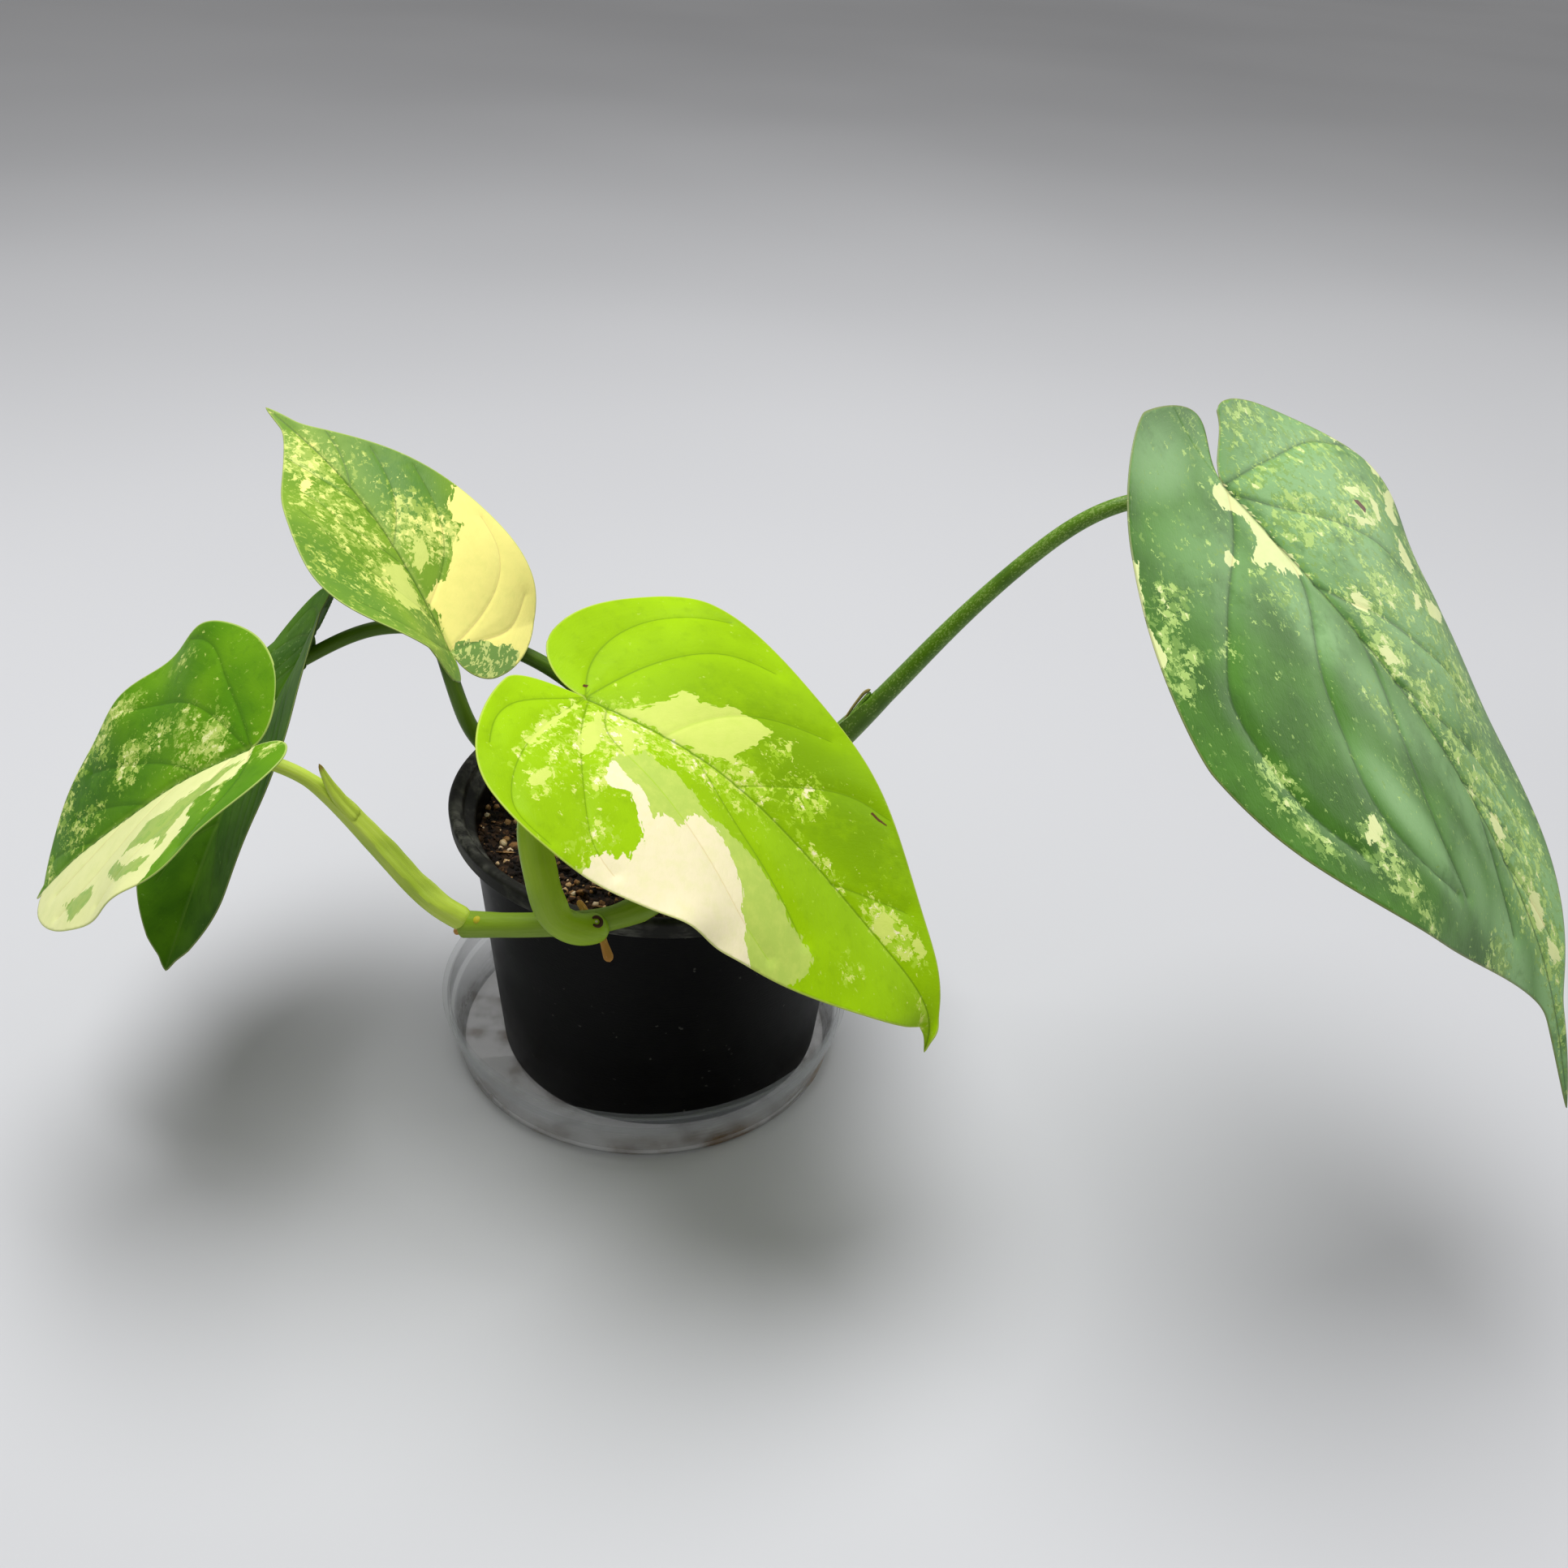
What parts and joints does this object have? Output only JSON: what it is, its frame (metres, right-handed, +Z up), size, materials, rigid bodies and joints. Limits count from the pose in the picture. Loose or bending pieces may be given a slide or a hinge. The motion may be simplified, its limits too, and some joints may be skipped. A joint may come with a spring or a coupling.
{
  "type": "potted syngonium",
  "caption": "Variegated arrowhead vine in a tapered nursery pot on a clear saucer: heart-shaped blades on arching stalks from a stem that creeps over the pot's lip.",
  "frame": {"origin": "centre of the pot's axis on the saucer's underside, where the part stands", "axes": "+Z up, +X to the right in the front view and along the part's greatest spread, +Y away from the front view"},
  "size_m": [0.404, 0.1824, 0.2251],
  "materials": {
    "clear_plastic": "thin clear vinyl, with dried residue",
    "black_plastic": "satin, scuffed grey along its lip",
    "potting_mix": "coarse dark bark mix with pale grains",
    "stem": "smooth green vine stem with brown scars",
    "petiole_centre": "smooth green stalk, slightly waxy",
    "petiole_right": "smooth green stalk, slightly waxy",
    "petiole_upper_left": "smooth green stalk, slightly waxy",
    "petiole_lower_left": "smooth green stalk, slightly waxy",
    "petiole_back_left": "smooth green stalk, slightly waxy",
    "leaf_centre": "waxy leaf with cream and pale green patches",
    "leaf_right": "waxy leaf with cream and pale green patches",
    "leaf_upper_left": "waxy leaf with cream and pale green patches",
    "leaf_lower_left": "waxy leaf with cream and pale green patches",
    "leaf_back_left": "waxy leaf with cream and pale green patches",
    "aerial_root": "dull tan root"
  },
  "bodies": {
    "root": {"saucer": "clear_plastic", "pot": "black_plastic", "soil": "potting_mix", "stem": "stem", "petiole_centre": "petiole_centre", "petiole_right": "petiole_right", "petiole_upper_left": "petiole_upper_left", "petiole_lower_left": "petiole_lower_left", "petiole_back_left": "petiole_back_left", "leaf_centre": "leaf_centre", "leaf_right": "leaf_right", "leaf_upper_left": "leaf_upper_left", "leaf_lower_left": "leaf_lower_left", "leaf_back_left": "leaf_back_left", "root_below": "aerial_root", "root_above": "aerial_root", "root_left": "aerial_root"}
  },
  "joints": []
}
